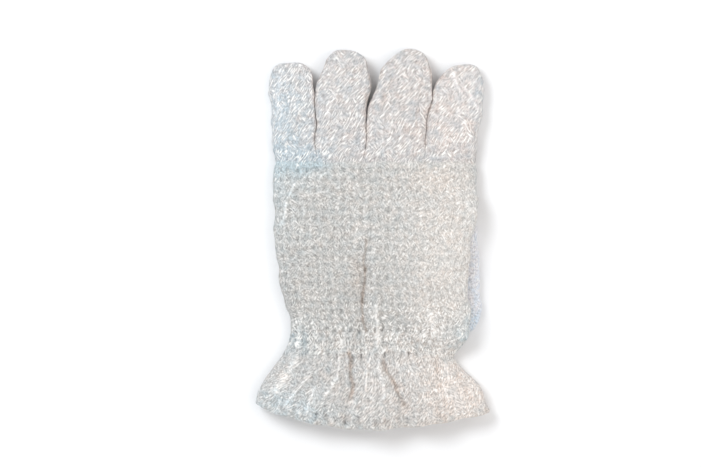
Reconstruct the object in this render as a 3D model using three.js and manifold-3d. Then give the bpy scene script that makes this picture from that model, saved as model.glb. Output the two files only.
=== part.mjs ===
// A mesh work glove that lies on a table, back up, with its thumb folded under the palm.
// Millimetres, +Z up, +Y towards the fingertips, +X towards the thumb side.
// Each piece is a hollow pocket or tube of padded mesh cloth, with a clearance at every seam.

import * as THREE from "three";
import { LoftGeometry } from "three/addons/geometries/LoftGeometry.js";
import { mergeVertices } from "three/addons/utils/BufferGeometryUtils.js";
import Module from "manifold-3d";

// The cloth, and the clearance between two pieces at a seam.
const WALL = 2.2;
const HEM_WALL = 3;
const GAP = 0.3;

// Rings round a flattened tube: columns over the top and under it, and how full its shape is.
const TUBE_COLUMNS = { top: 36, under: 24 };
const ELASTIC_COLUMNS = { top: 72, under: 48 };
const FINGER_COLUMNS = { top: 14, under: 8 };
const OUTER_ROWS = { elastic: 4, cuff: 6, hem: 1, straight: 4, fingertip: 6 };
const INNER_ROWS = { straight: 2, fingertip: 4 };
const THUMB_ROWS = { middle: 4, end: 5 };
const CROWN = { flatness: 4, fullness: 2.4 };
const UNDERSIDE = { flatness: 6, press: 1.3 };
const SIDE_SHARE = 0.4;
const END_CLOSING = 2;
const SHARED_VERTEX = 1e-4;

// The sleeve of the hand, wrist and cuff, by distance down its middle from the knuckle seam.
// left and right are the ends of each line across it, bow is how far its middle hangs below the
// straight line between them, wave lifts its right half and drops its left half, and top is the
// height of the crown.
const SLEEVE = [
  { along: 0, leftX: -62.4, leftY: 49, rightX: 66.3, rightY: 49, bow: 0, wave: 0, top: 18.5 },
  { along: 14, leftX: -62.7, leftY: 35, rightX: 68, rightY: 35, bow: 0, wave: 0, top: 22 },
  { along: 37, leftX: -62.4, leftY: 12, rightX: 66.6, rightY: 12, bow: 0, wave: 0, top: 24 },
  { along: 56, leftX: -61.4, leftY: -7, rightX: 62.6, rightY: -8, bow: -0.3, wave: 0, top: 25 },
  { along: 76, leftX: -58.8, leftY: -25, rightX: 61.5, rightY: -30.5, bow: -1.6, wave: 0, top: 24.5 },
  { along: 97, leftX: -54.6, leftY: -44, rightX: 62.8, rightY: -53, bow: -2.8, wave: 2, top: 21.5 },
  { along: 111, leftX: -52, leftY: -55.5, rightX: 59.8, rightY: -67, bow: -2.4, wave: 6.7, top: 17.5 },
  { along: 118.5, leftX: -51.5, leftY: -62.2, rightX: 52.8, rightY: -75, bow: -2, wave: 9, top: 16 },
  { along: 126, leftX: -54.2, leftY: -68.8, rightX: 55.8, rightY: -80.6, bow: -1.5, wave: 9, top: 17 },
  { along: 140, leftX: -62.6, leftY: -81.6, rightX: 64.8, rightY: -88.6, bow: 3.4, wave: 5, top: 19.5 },
  { along: 155, leftX: -69.4, leftY: -92, rightX: 71.8, rightY: -98.6, bow: 9.7, wave: 3, top: 21 },
  { along: 169.8, leftX: -75.2, leftY: -105.5, rightX: 75.2, rightY: -111, bow: 13.2, wave: 3, top: 22 },
];
const HAND_OUTER = [6, 13, 22, 33, 44, 56, 68, 80, 90, 98, 105];
const HAND_INNER = [14, 33, 56, 80, 98];
const ALONG = { elasticTop: 111, elastic: 118.5, elasticEnd: 126, hemSeam: 165.6, edge: 169.8 };

// Finger pockets, by the places of their sides and their heights at the knuckle seam and where
// they are widest, and by the place and the roundness of their tips.
const FINGER_BASE_Y = 49;
const FINGER_WIDEST_Y = 90;
const FINGERS = [
  { name: "finger_little", baseLeft: -62.2, baseRight: -35.65, wideLeft: -65, wideRight: -36.1,
    tipX: -52.2, tipY: 113.1, roundness: 2.8, baseTop: 17.5, wideTop: 16 },
  { name: "finger_ring", baseLeft: -35.35, baseRight: -3.85, wideLeft: -35.8, wideRight: -1.6,
    tipX: -15.4, tipY: 121.5, roundness: 2.4, baseTop: 18.5, wideTop: 17.5 },
  { name: "finger_middle", baseLeft: -3.55, baseRight: 33.25, wideLeft: 0.9, wideRight: 37.85,
    tipX: 25, tipY: 121.2, roundness: 2.2, baseTop: 19, wideTop: 18 },
  { name: "finger_index", baseLeft: 33.55, baseRight: 66.1, wideLeft: 38.15, wideRight: 72,
    tipX: 59.4, tipY: 112, roundness: 2, baseTop: 18.5, wideTop: 17 },
];

// The thumb pocket under the palm, by the places of its sides, and the hole it is sewn round.
const THUMB = { top: 12, rootY: -63, tipX: 54, tipY: 14.5, rootX: 49, roundness: 2.5 };
const THUMB_SIDES = [
  { y: -46, left: 30, right: 70 },
  { y: -34, left: 31.5, right: 70.1 },
  { y: -20, left: 34, right: 69 },
  { y: -6, left: 36, right: 68.6 },
];
const THUMB_HOLE = { x: 43, y: -43, halfWidth: 9.5, halfLength: 14 };
const HOLE_SEGMENTS = 10;

// Where the thumb lifts the palm: the ramp up to it across the hand, and its ends along it.
const LIFT = { height: 12.4, rampLeft: 12, rampRight: 30 };
const LIFT_ENDS = { rootFrom: -74, rootTo: -62, tipFrom: 15, tipTo: 36 };
const LIFT_CROWN_SHARE = 0.45;

// Dips between the fingers, the pleat down the back of the hand and the gathers at the wrist.
const VALLEY = { depth: 5, width: 3.6, length: 15, places: [-35.5, -3.7, 33.4] };
const PLEAT = { x: -4.8, topY: 9, fadeIn: 16, depth: 3.4, width: 4.2, lip: 1.4, lipOffset: 8 };
const PUCKER = { height: 1.3, reach: 14, onTop: 18 };

// Folds of the cuff, by their places across it at the elastic and at the hem.
const CUFF_FOLDS = [
  { name: "left edge ridge", atElastic: -0.9, atHem: -0.93, rise: 3, width: 0.07 },
  { name: "left valley", atElastic: -0.8, atHem: -0.85, rise: -2.4, width: 0.06 },
  { name: "left ridge", atElastic: -0.62, atHem: -0.75, rise: 3.4, width: 0.08 },
  { name: "second ridge", atElastic: -0.42, atHem: -0.5, rise: 3, width: 0.08 },
  { name: "left deep valley", atElastic: -0.22, atHem: -0.21, rise: -4.4, width: 0.08 },
  { name: "middle ridge", atElastic: -0.04, atHem: 0.02, rise: 3.6, width: 0.1 },
  { name: "right deep valley", atElastic: 0.18, atHem: 0.31, rise: -4.4, width: 0.08 },
  { name: "right ridge", atElastic: 0.42, atHem: 0.52, rise: 3.2, width: 0.1 },
  { name: "right valley", atElastic: 0.66, atHem: 0.68, rise: -2.6, width: 0.07 },
  { name: "right edge ridge", atElastic: 0.84, atHem: 0.84, rise: 2.8, width: 0.07 },
];

const wasm = await Module();
wasm.setup();

const smooth = THREE.MathUtils.smoothstep;
const bell = (distance, width) => Math.exp(-((distance / width) ** 2));
const mix = THREE.MathUtils.lerp;
const steps = (from, to, count) => Array.from({ length: count + 1 }, (_, i) => mix(from, to, i / count));

// A smooth curve through each named column of a table, read at any value of its key column.
function reader(table, key) {
  const names = Object.keys(table[0]).filter((name) => name !== key);
  const curve = new THREE.CubicInterpolant(
    table.map((row) => row[key]),
    table.flatMap((row) => names.map((name) => row[name])),
    names.length,
  );
  return (at) => {
    const values = curve.evaluate(at);
    return Object.fromEntries(names.map((name, i) => [name, values[i]]));
  };
}

// The places round a tube: across it from -1 to 1, and rise from -1 on the floor to 1 at the crown.
function ring({ top, under }) {
  const over = Array.from({ length: top }, (_, i) => (Math.PI * i) / top);
  const below = Array.from({ length: under }, (_, i) => Math.PI + (Math.PI * i) / under);
  return [...over, ...below].map((angle, index) => {
    const across = Math.cos(angle);
    const crown = Math.max(0, 1 - Math.abs(across) ** CROWN.flatness) ** (1 / CROWN.fullness);
    const floor = UNDERSIDE.press * Math.sqrt(Math.max(0, 1 - Math.abs(across) ** UNDERSIDE.flatness));
    return { across, rise: index < top ? crown : -Math.min(1, floor), turn: index / top };
  });
}

// The height of a place on a section that goes from floor to top.
function heightAt(rise, floor, top) {
  const side = mix(floor, top, SIDE_SHARE);
  return rise > 0 ? mix(side, top, rise) : mix(side, floor, -rise);
}

// How far the folded thumb lifts the palm at a place.
function thumbLift(x, y) {
  const acrossHand = smooth(x, LIFT.rampLeft, LIFT.rampRight);
  const atRoot = smooth(y, LIFT_ENDS.rootFrom, LIFT_ENDS.rootTo);
  const atTip = 1 - smooth(y, LIFT_ENDS.tipFrom, LIFT_ENDS.tipTo);
  return LIFT.height * acrossHand * atRoot * atTip;
}

// Dips and folds on the upper side of the sleeve.
function topRelief(x, y, across, along) {
  const nearKnuckles = 1 - smooth(FINGER_BASE_Y - y, 0, VALLEY.length);
  const dips = VALLEY.places.map((place) => bell(x - place, VALLEY.width));
  const valleys = -VALLEY.depth * nearKnuckles * dips.reduce((sum, dip) => sum + dip, 0);

  const pleatEnd = 1 - smooth(along, ALONG.elasticTop, ALONG.elasticEnd);
  const onPleat = smooth(PLEAT.topY - y, 0, PLEAT.fadeIn) * pleatEnd;
  const groove = -PLEAT.depth * bell(x - PLEAT.x, PLEAT.width);
  const lip = PLEAT.lip * bell(x - PLEAT.x - PLEAT.lipOffset, PLEAT.width);

  const downCuff = smooth(along, ALONG.elastic, ALONG.edge);
  const folds = CUFF_FOLDS.map(
    (fold) => fold.rise * bell(across - mix(fold.atElastic, fold.atHem, downCuff), fold.width),
  );
  return valleys + onPleat * (groove + lip) + downCuff * folds.reduce((sum, fold) => sum + fold, 0);
}

// One section of the sleeve. The inner face is drawn in by inset, and has no puckers.
const sleeveAt = reader(SLEEVE, "along");
function sleeveSection(columns, along, inset) {
  const { leftX, leftY, rightX, rightY, bow, wave, top } = sleeveAt(along);
  const halfWidth = (rightX - leftX) / 2;
  return ring(columns).map(({ across, rise, turn }) => {
    const reach = across * (1 - inset / halfWidth);
    const x = mix(leftX, rightX, (1 + reach) / 2);
    const y = mix(leftY, rightY, (1 + reach) / 2) + (wave * reach - bow) * (1 - reach ** 2);
    const lift = thumbLift(x, y);
    const overTop = Math.max(0, rise);
    const gather = PUCKER.height * bell(along - ALONG.elastic, PUCKER.reach);
    const pucker = inset ? 0 : gather * overTop * (0.5 + 0.5 * Math.cos(Math.PI * 2 * PUCKER.onTop * turn));
    const crown = top + LIFT_CROWN_SHARE * lift - inset + overTop * topRelief(x, y, across, along);
    return new THREE.Vector3(x, y, heightAt(rise, lift + inset, crown) + pucker);
  });
}

// A tube of the sleeve, open at both ends: down its outer face, back up its inner face.
function sleeveTube(columns, outerRows, innerRows, wall) {
  const outer = outerRows.map((along) => sleeveSection(columns, along, 0));
  const inner = innerRows.map((along) => sleeveSection(columns, along, wall)).reverse();
  return new LoftGeometry([...outer, ...inner, outer[0]]);
}

// A section of a pocket between two sides, shrunk by tip where the pocket rounds off.
function pocketSection(columns, y, left, right, top, inset, tip) {
  const middle = (left + right) / 2;
  const halfWidth = ((right - left) / 2) * tip - inset * Math.min(1, tip * END_CLOSING);
  const rest = mix(inset, top - inset, SIDE_SHARE);
  return ring(columns).map(({ across, rise }) => {
    const z = heightAt(rise, inset, top - inset);
    return new THREE.Vector3(middle + across * halfWidth, y, mix(rest, z, tip));
  });
}

// Rows of the rounded end of a pocket: how far along it, and the share of its width left there.
// The last row has no width, and closes the end.
function roundedEnd(count, roundness) {
  return steps(0, Math.PI / 2, count).map((angle, row) => ({
    reach: Math.sin(angle) ** (2 / roundness),
    tip: row < count ? Math.cos(angle) ** (2 / roundness) : 0,
  }));
}

// A finger's face, from its rounded tip to the knuckle seam.
function fingerFace(finger, inset, rows) {
  const tipY = finger.tipY - inset;
  const end = roundedEnd(rows.fingertip, finger.roundness).map(({ reach, tip }) => {
    const drift = (finger.tipX - (finger.wideLeft + finger.wideRight) / 2) * reach;
    const y = mix(FINGER_WIDEST_Y, tipY, reach);
    const left = finger.wideLeft + drift;
    const right = finger.wideRight + drift;
    return pocketSection(FINGER_COLUMNS, y, left, right, finger.wideTop, inset, tip);
  });
  const straight = steps(FINGER_WIDEST_Y, FINGER_BASE_Y + GAP / 2, rows.straight).slice(1).map((y) => {
    const share = (y - FINGER_BASE_Y) / (FINGER_WIDEST_Y - FINGER_BASE_Y);
    const left = mix(finger.baseLeft, finger.wideLeft, share);
    const right = mix(finger.baseRight, finger.wideRight, share);
    const top = mix(finger.baseTop, finger.wideTop, share);
    return pocketSection(FINGER_COLUMNS, y, left, right, top, inset, 1);
  });
  return [...end.reverse(), ...straight];
}

function fingerGeometry(finger) {
  const outer = fingerFace(finger, 0, OUTER_ROWS);
  const inner = fingerFace(finger, WALL, INNER_ROWS).reverse();
  return new LoftGeometry([...outer, ...inner]);
}

// The thumb's face, closed at both ends, from its tip to its root.
const thumbSidesAt = reader(THUMB_SIDES, "y");
function thumbBody(inset) {
  const first = THUMB_SIDES[0];
  const last = THUMB_SIDES[THUMB_SIDES.length - 1];
  const end = (sides, endX, endY) => roundedEnd(THUMB_ROWS.end, THUMB.roundness).map(({ reach, tip }) => {
    const drift = (endX - (sides.left + sides.right) / 2) * reach;
    const y = mix(sides.y, endY, reach);
    return pocketSection(FINGER_COLUMNS, y, sides.left + drift, sides.right + drift, THUMB.top, inset, tip);
  });
  const tipEnd = end(last, THUMB.tipX, THUMB.tipY - inset).reverse();
  const rootEnd = end(first, THUMB.rootX, THUMB.rootY + inset);
  const middle = steps(last.y, first.y, THUMB_ROWS.middle).slice(1, -1).map((y) => {
    const { left, right } = thumbSidesAt(y);
    return pocketSection(FINGER_COLUMNS, y, left, right, THUMB.top, inset, 1);
  });
  return new LoftGeometry([...tipEnd, ...middle, ...rootEnd]);
}

// The oval way from the hand into the thumb, from halfway up the thumb to inside the hand.
function thumbHole() {
  const oval = new THREE.Shape();
  oval.absellipse(THUMB_HOLE.x, THUMB_HOLE.y, THUMB_HOLE.halfWidth, THUMB_HOLE.halfLength, 0, Math.PI * 2);
  const from = THUMB.top / 2;
  const to = LIFT.height + WALL * 2;
  const depth = to - from;
  const hole = new THREE.ExtrudeGeometry(oval, { depth, bevelEnabled: false, curveSegments: HOLE_SEGMENTS });
  hole.translate(0, 0, from);
  return hole;
}

// A closed geometry as a solid that can be cut.
function solidOf(geometry) {
  const bare = new THREE.BufferGeometry();
  bare.setAttribute("position", geometry.getAttribute("position"));
  bare.setIndex(geometry.index);
  const merged = mergeVertices(bare, SHARED_VERTEX);
  const vertProperties = merged.getAttribute("position").array;
  const triVerts = new Uint32Array(merged.index.array);
  return new wasm.Manifold(new wasm.Mesh({ numProp: 3, vertProperties, triVerts }));
}

function geometryOf(solid) {
  const { vertProperties, triVerts } = solid.getMesh();
  const geometry = new THREE.BufferGeometry();
  geometry.setAttribute("position", new THREE.BufferAttribute(vertProperties, 3));
  geometry.setIndex(new THREE.BufferAttribute(triVerts, 1));
  geometry.computeVertexNormals();
  return geometry;
}

function handGeometry() {
  const ends = (rows) => [GAP / 2, ...rows, ALONG.elasticTop - GAP];
  const tube = sleeveTube(TUBE_COLUMNS, ends(HAND_OUTER), ends(HAND_INNER), WALL);
  return geometryOf(solidOf(tube).subtract(solidOf(thumbHole())));
}

function thumbGeometry() {
  const hollow = solidOf(thumbBody(0)).subtract(solidOf(thumbBody(WALL)));
  return geometryOf(hollow.subtract(solidOf(thumbHole())));
}

const elasticRows = steps(ALONG.elasticTop, ALONG.elasticEnd - GAP, OUTER_ROWS.elastic);
const cuffRows = steps(ALONG.elasticEnd, ALONG.hemSeam - GAP, OUTER_ROWS.cuff);
const hemRows = steps(ALONG.hemSeam, ALONG.edge, OUTER_ROWS.hem);
const elastic = sleeveTube(ELASTIC_COLUMNS, elasticRows, elasticRows, WALL);
const cuff = sleeveTube(TUBE_COLUMNS, cuffRows, cuffRows, WALL);
const hem = sleeveTube(TUBE_COLUMNS, hemRows, hemRows, HEM_WALL);

const mesh = (name, geometry, material) => {
  const piece = new THREE.Mesh(geometry, material);
  piece.name = name;
  return piece;
};
const cloth = (color, roughness) =>
  new THREE.MeshStandardMaterial({ color, roughness, metalness: 0, side: THREE.FrontSide });

const glove = new THREE.Group();
glove.add(mesh("hand_shell", handGeometry(), cloth(0xe3e2e5, 0.75)));
for (const finger of FINGERS) glove.add(mesh(finger.name, fingerGeometry(finger), cloth(0xe6e3e5, 0.75)));
glove.add(mesh("thumb", thumbGeometry(), cloth(0xdcdae3, 0.75)));
glove.add(mesh("wrist_elastic", elastic, cloth(0xdedad8, 0.8)));
glove.add(mesh("cuff", cuff, cloth(0xe2e0e2, 0.75)));
glove.add(mesh("hem", hem, cloth(0xeceaec, 0.7)));

export default glove;
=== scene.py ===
# A white padded-mesh work glove that lies back up, with its thumb folded under the palm.
# Its shapes are worked out in millimetres, +X to the thumb side and +Y to the fingertips.

import bpy
import numpy as np
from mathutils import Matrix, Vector


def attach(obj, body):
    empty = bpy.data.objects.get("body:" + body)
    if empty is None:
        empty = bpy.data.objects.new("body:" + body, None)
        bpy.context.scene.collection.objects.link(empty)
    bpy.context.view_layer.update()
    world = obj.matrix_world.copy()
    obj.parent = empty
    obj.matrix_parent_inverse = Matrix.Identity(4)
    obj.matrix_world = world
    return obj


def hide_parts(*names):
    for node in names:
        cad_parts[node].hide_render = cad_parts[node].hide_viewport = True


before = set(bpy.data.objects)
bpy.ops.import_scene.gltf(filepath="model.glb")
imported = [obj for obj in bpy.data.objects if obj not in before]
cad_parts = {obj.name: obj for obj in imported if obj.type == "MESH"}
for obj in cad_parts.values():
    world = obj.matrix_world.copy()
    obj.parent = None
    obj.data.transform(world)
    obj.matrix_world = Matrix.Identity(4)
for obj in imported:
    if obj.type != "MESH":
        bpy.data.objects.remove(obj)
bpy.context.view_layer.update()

# A millimetre in metres, the thickness of the cloth and of the hem, the clearance at a seam, how far
# the padding widens each side of a finger, and the rounding of a wall's edges with its points.
MM = 0.001
WALL = 2.2
HEM_WALL = 3
CLEARANCE = 0.03
SIDE_PRESS = 0.13
EDGE_ROUNDING = 0.04
CORNER_STEPS = 4

# Mesh cells: the count over the back and under the palm of the sleeve, their pitch along it, and their
# pitch on the fingers and thumb.
CELLS_OVER = 24
CELLS_UNDER = 21
SLEEVE_PITCH = 6.235
POCKET_PITCH = 5.45

# Sections of the sleeve by distance down its middle from the knuckle seam: the two ends of each
# line across it, how far its middle hangs, how far its halves wave, and the height of the crown.
# Columns: along, left_x, left_y, right_x, right_y, bow, wave, top.
SLEEVE = np.array([
    (0, -62.4, 49, 66.3, 49, 0, 0, 18.5),
    (14, -62.7, 35, 68, 35, 0, 0, 22),
    (37, -62.4, 12, 66.6, 12, 0, 0, 24),
    (56, -61.4, -7, 62.6, -8, -0.3, 0, 25),
    (76, -58.8, -25, 61.5, -30.5, -1.6, 0, 24.5),
    (97, -54.6, -44, 62.8, -53, -2.8, 2, 21.5),
    (111, -52, -55.5, 59.8, -67, -2.4, 6.7, 17.5),
    (118.5, -51.5, -62.2, 52.8, -75, -2, 9, 16),
    (126, -54.2, -68.8, 55.8, -80.6, -1.5, 9, 17),
    (140, -62.6, -81.6, 64.8, -88.6, 3.4, 5, 19.5),
    (155, -69.4, -92, 71.8, -98.6, 9.7, 3, 21),
    (169.8, -75.2, -105.5, 75.2, -111, 13.2, 3, 22),
])

# Places along the sleeve: the top, the middle and the end of the elastic, the last row of cells, the
# seam of the hem and the edge.
ELASTIC_TOP = 111
ELASTIC = 118.5
ELASTIC_END = 126
LAST_CELLS = 165.2
HEM_SEAM = 165.6
EDGE = 169.8

# The lines of the knuckle seam, of the fingers' widest place and of the end of the webs between them,
# and how square and how high up a side is widest that presses on a neighbour.
BASE_Y = 49
WIDEST_Y = 90
WEB_END_Y = 72
PRESSED = 0.3
PRESSED_SIDE_SHARE = 0.87

# Finger pockets by the places of their sides and their heights at the knuckle seam and at their
# widest line, the place and roundness of their tips, which sides press on a neighbour, the power by
# which each side leaves its line at the seam for its widest place, and the size of the flat cloth.
FINGERS = [
    {"name": "finger_little", "base": (-62.2, -35.65), "wide": (-65, -36.1), "tops": (17.5, 16),
     "tip": (-52.2, 113.1), "roundness": 2.8, "pressed": (0, 1), "parting": (1, 1.6), "flat": (76, 69)},
    {"name": "finger_ring", "base": (-35.35, -3.85), "wide": (-35.8, -1.6), "tops": (18.5, 17.5),
     "tip": (-15.4, 121.5), "roundness": 2.4, "pressed": (1, 1), "parting": (1.6, 5), "flat": (88, 77)},
    {"name": "finger_middle", "base": (-3.55, 33.25), "wide": (0.9, 37.85), "tops": (19, 18),
     "tip": (25, 121.2), "roundness": 2.2, "pressed": (1, 1), "parting": (5, 1.6), "flat": (94, 77)},
    {"name": "finger_index", "base": (33.55, 66.1), "wide": (38.15, 72), "tops": (18.5, 17),
     "tip": (59.4, 112), "roundness": 2, "pressed": (1, 0), "parting": (1.6, 1), "flat": (87, 68)},
]

# The thumb pocket under the palm, and the oval hole that it is sewn round.
# Columns: y, left, right.
THUMB_SIDES = np.array([
    (-46, 30, 70),
    (-34, 31.5, 70.1),
    (-20, 34, 69),
    (-6, 36, 68.6),
])
THUMB = {"top": 12, "half_width": 19, "root": (49, -63), "tip": (54, 14.5), "roundness": 2.5}
THUMB_HOLE = {"x": 43, "y": -43, "half_width": 9.5, "half_length": 14}

# Where the thumb lifts the palm: the ramp up to it across the hand, and its ends along it.
LIFT = {"height": 12.4, "ramp": (12, 30), "root": (-74, -62), "tip": (15, 36), "crown_share": 0.45}

# Dips between the fingers, the groove of the knuckle seam, and the pleat down the back of the hand.
VALLEY = {"depth": 0.6, "width": 2.6, "length": 13, "places": (-35.5, -3.7, 33.4)}
KNUCKLE_GROOVE = {"depth": 0.3, "width": 3}
PLEAT = {"x": -4.8, "top_y": 9, "fade": 16, "depth": 1.6, "width": 4.2, "lip": 1.2, "lip_offset": 7}

# Folds of the cuff. Columns: place at the elastic, place at the hem, rise, width.
CUFF_FOLDS = np.array([
    (-0.9, -0.93, 3, 0.07),
    (-0.8, -0.85, -2.4, 0.06),
    (-0.62, -0.75, 3.4, 0.08),
    (-0.42, -0.5, 3, 0.08),
    (-0.22, -0.21, -4.4, 0.08),
    (-0.04, 0.02, 3.6, 0.1),
    (0.18, 0.31, -4.4, 0.08),
    (0.42, 0.52, 3.2, 0.1),
    (0.66, 0.68, -2.6, 0.07),
    (0.84, 0.84, 2.8, 0.07),
])

# Creases and ridges that lie on the back, each along a line from one place to another.
# Columns: from_x, from_y, to_x, to_y, height, width.
CREASES = np.array([
    (-47.6, 36.4, -54.6, 21.6, 1.6, 0.7),
    (-54.6, 21.6, -57.9, 8, 1.4, 0.9),
    (-29.8, 41.4, -38, 35, 0.8, 0.8),
    (-29, 30, -38.7, 28.6, 0.7, 0.8),
    (45, 26.7, 56, 30, 0.6, 0.8),
    (61.5, 20, 66, 15.5, 1.1, 1.1),
    (-3.8, -1, -4.3, -20, -1.3, 0.7),
    (-4.3, -20, -5.8, -39, -1.5, 0.7),
    (-5.8, -39, -4.4, -58, -1.4, 0.7),
    (3.5, -44.4, 3.5, -68, 1.1, 1.3),
    (-46, -48, -46.4, -64, 1.0, 1.6),
    (37.4, -50, 42, -62, 0.9, 1.6),
    (30.6, 91, 28.2, 58, -0.5, 0.8),
    (53.5, 104.5, 56, 95, 0.8, 1.1),
    (61, 95, 67.5, 84, 0.9, 1.1),
    (60, 76, 68, 65, -0.6, 1.0),
    (-58, 100, -61, 82, 0.6, 1.4),
    (-46, 78, -52, 64, -0.5, 1.3),
    (-22, 96, -27, 80, 0.5, 1.3),
    (12, 100, 7, 84, -0.5, 1.3),
    (-34, 100, -34.9, 56, -0.6, 1.7),
    (-1, 98, -2.7, 60, -0.6, 1.7),
    (36, 96, 34, 56, -0.6, 1.7),
    (-13.4, -73, -12.5, -101, -1.6, 1.1),
    (8, -78, 20.2, -104.5, -1.4, 1.1),
    (-40, -88, -56, -107, 1.6, 0.8),
    (-37, -97, -41.5, -110, 1.5, 0.9),
    (-20.5, -75.7, -22, -89, 1.3, 0.8),
    (-24, -91, -28.6, -99, 1.0, 1.0),
    (-0.5, -74, -4.8, -95, 1.5, 0.7),
    (5, -79, 8, -100, 0.7, 1.2),
    (46.8, -80, 50.2, -89.6, 1.5, 0.7),
    (45.4, -92.8, 49, -102.4, 1.4, 0.7),
    (25, -83, 28, -89, 0.9, 0.8),
    (-50.5, -80, -59, -95, 1.4, 2.0),
    (41, -79, 44, -92, -0.8, 1.4),
    (56, -86, 63, -100, -0.8, 1.5),
])

# How the lines of the creases stray aside, by y, in columns size, rate and phase, and how many of its
# widths a crease runs out over beyond its ends.
CREASE_DRIFT = ((0.2, 0.42, 0), (0.12, 1.1, 1))
CREASE_RUN_OUT = 2.5

# The tone of the plain cloth. The hand, between its top and its end, is darker and more open, with more
# painted shade in its cells, than the fingers and the cuff, and the right side of the glove, up a ramp
# in x, is warmer with painted warm light and less open.
HAND_TOP = 56
HAND_END = -70
HAND_FADE = 14
HAND_LIGHTNESS = -0.13
HAND_OPENNESS = 0.8
RIGHT_RAMP = (0, 45)
RIGHT_WARM_LIGHT = 0.4
RIGHT_CLOSING = 0.5
PLAIN_WARMTH = 0.4
PLAIN_OPENNESS = 0.3

# Soft patches of tone over the cloth, as bells about their middles: painted light and shade, cooler where
# bluish light falls and lighter where glints cluster.
# Columns: x, y, half_width, half_length, lightness, warmth, openness.
PATCHES = np.array([
    (-62, 66, 16, 45, 0.06, -1.1, 0),
    (-48, 80, 20, 34, 0.04, -0.5, 0),
    (-44, 50, 18, 9, 0, -1.9, 0),
    (-62, -102, 22, 9, 0, -0.9, 0),
    (-44, -110, 26, 8, 0, -0.8, 0),
    (-50, -65, 13, 11, -0.04, -1.1, 0),
    (60, 88, 22, 30, 0.08, 0, 0),
    (39, 38, 14, 8, 0.06, 0.4, 0),
    (36, 52, 16, 5, -0.05, -0.5, 0),
    (22, 5, 40, 60, 0.05, 0, 0),
    (-37, -41, 6, 9, 0.1, 0.2, -0.2),
    (31, -43, 7, 9, 0.07, 0.2, -0.2),
    (-9, 5, 5, 7, 0.12, 0.2, -0.2),
    (-9, -26, 4, 15, -0.03, 0.7, 0),
    (0, -52, 60, 8, 0.05, 0, -0.3),
    (-6, -60, 28, 4, 0.05, 0, 0),
    (5, -68, 12, 4, -0.09, 0.1, 0),
    (-14, -68, 40, 4, -0.06, 0, 0),
    (38, -67.5, 16, 4, 0.05, -0.1, 0),
    (-22, -57, 26, 5, 0.06, 0, 0),
    (24, -63, 26, 5, 0.06, 0, 0),
    (74, 75, 9, 55, 0.18, -1.1, 0),
    (71, -30, 9, 60, 0.22, -0.7, 0),
    (58, -64, 10, 10, 0.05, -1.0, 0),
    (64, -53, 6, 12, 0, -0.9, 0),
    (60, -15, 30, 62, 0.21, 0, -0.3),
    (36, -58, 38, 15, 0.05, 0, 0),
    (-38, -86, 20, 12, -0.1, -0.2, 0),
    (-61, 5, 7, 45, 0.06, -0.2, 0),
    (62, -98, 24, 18, 0.16, 0.4, 0),
])

# A slow wander of all the lines of the cloth over the surface. Columns: wave_x, wave_y (turns a
# millimetre), phase, shift_x, shift_y.
WANDER = np.array([
    (0.008, 0.031, 0.2, 0.55, 0.1),
    (-0.012, 0.058, 0.6, 0.35, 0.15),
    (0.02, 0.104, 0.35, 0.12, 0.05),
    (0.045, 0.02, 0.9, 0.1, 0.5),
])

# How high a ridge is at its lightest, or how deep a fold at its brownest, and how much lighter a ridge is: a
# painted highlight on ridges and painted shade in folds.
RIDGE = 1.6
RIDGE_PAINTED_HIGHLIGHT = 0.68

# Soft undulations of the padded cloth. Columns: wave_x, wave_y (turns a millimetre), phase, height.
UNDULATIONS = np.array([
    (0.021, 0.013, 0.1, 0.35),
    (-0.014, 0.027, 0.55, 0.25),
    (0.036, -0.022, 0.3, 0.12),
    (0.017, 0.048, 0.8, 0.08),
    (-0.055, 0.03, 0.2, 0.05),
])


def mix(start, end, share):
    """On the straight line from start, at a share of 0, to end, at a share of 1."""
    return start + (end - start) * share


def ease(value, start, end):
    """0 at start and 1 at end, along 3t² - 2t³ between them."""
    t = np.clip((value - start) / (end - start), 0, 1)
    return t * t * (3 - 2 * t)


def bell(distance, width):
    """1 at no distance, and e^-(distance / width)² away from it."""
    return np.exp(-((distance / width) ** 2))


def waver(at, waves):
    """A sum of sines, each with its size, its rate and its phase."""
    return sum(size * np.sin(at * rate + phase) for size, rate, phase in waves)


def read(table, at):
    """Each later column of a table at the places `at` of its first column. Between two rows it
    follows the cubic that has the table's central differences as its slopes there."""
    keys, values = table[:, 0], table[:, 1:]
    slopes = np.gradient(values, keys, axis=0)
    row = np.clip(np.searchsorted(keys, at, side="right") - 1, 0, len(keys) - 2)
    span = (keys[row + 1] - keys[row])[..., None]
    t = (at - keys[row])[..., None] / span
    level = values[row] * (1 + 2 * t) * (1 - t) ** 2 + values[row + 1] * (3 - 2 * t) * t**2
    slope = slopes[row] * t * (1 - t) ** 2 - slopes[row + 1] * (1 - t) * t**2
    return np.moveaxis(level + slope * span, -1, 0)


# Sections

CROWN_FLATNESS = 4
CROWN_FULLNESS = 2.4
WEB_FLATNESS = 14
WEB_FULLNESS = 4
UNDER_FLATNESS = 6
UNDER_PRESS = 1.3
UNDER_SOFTNESS = 8
SIDE_SHARE = 0.4
END_CLOSING = 2
SECTION_SAMPLES = 4001
END_SAMPLES = 2001


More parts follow.
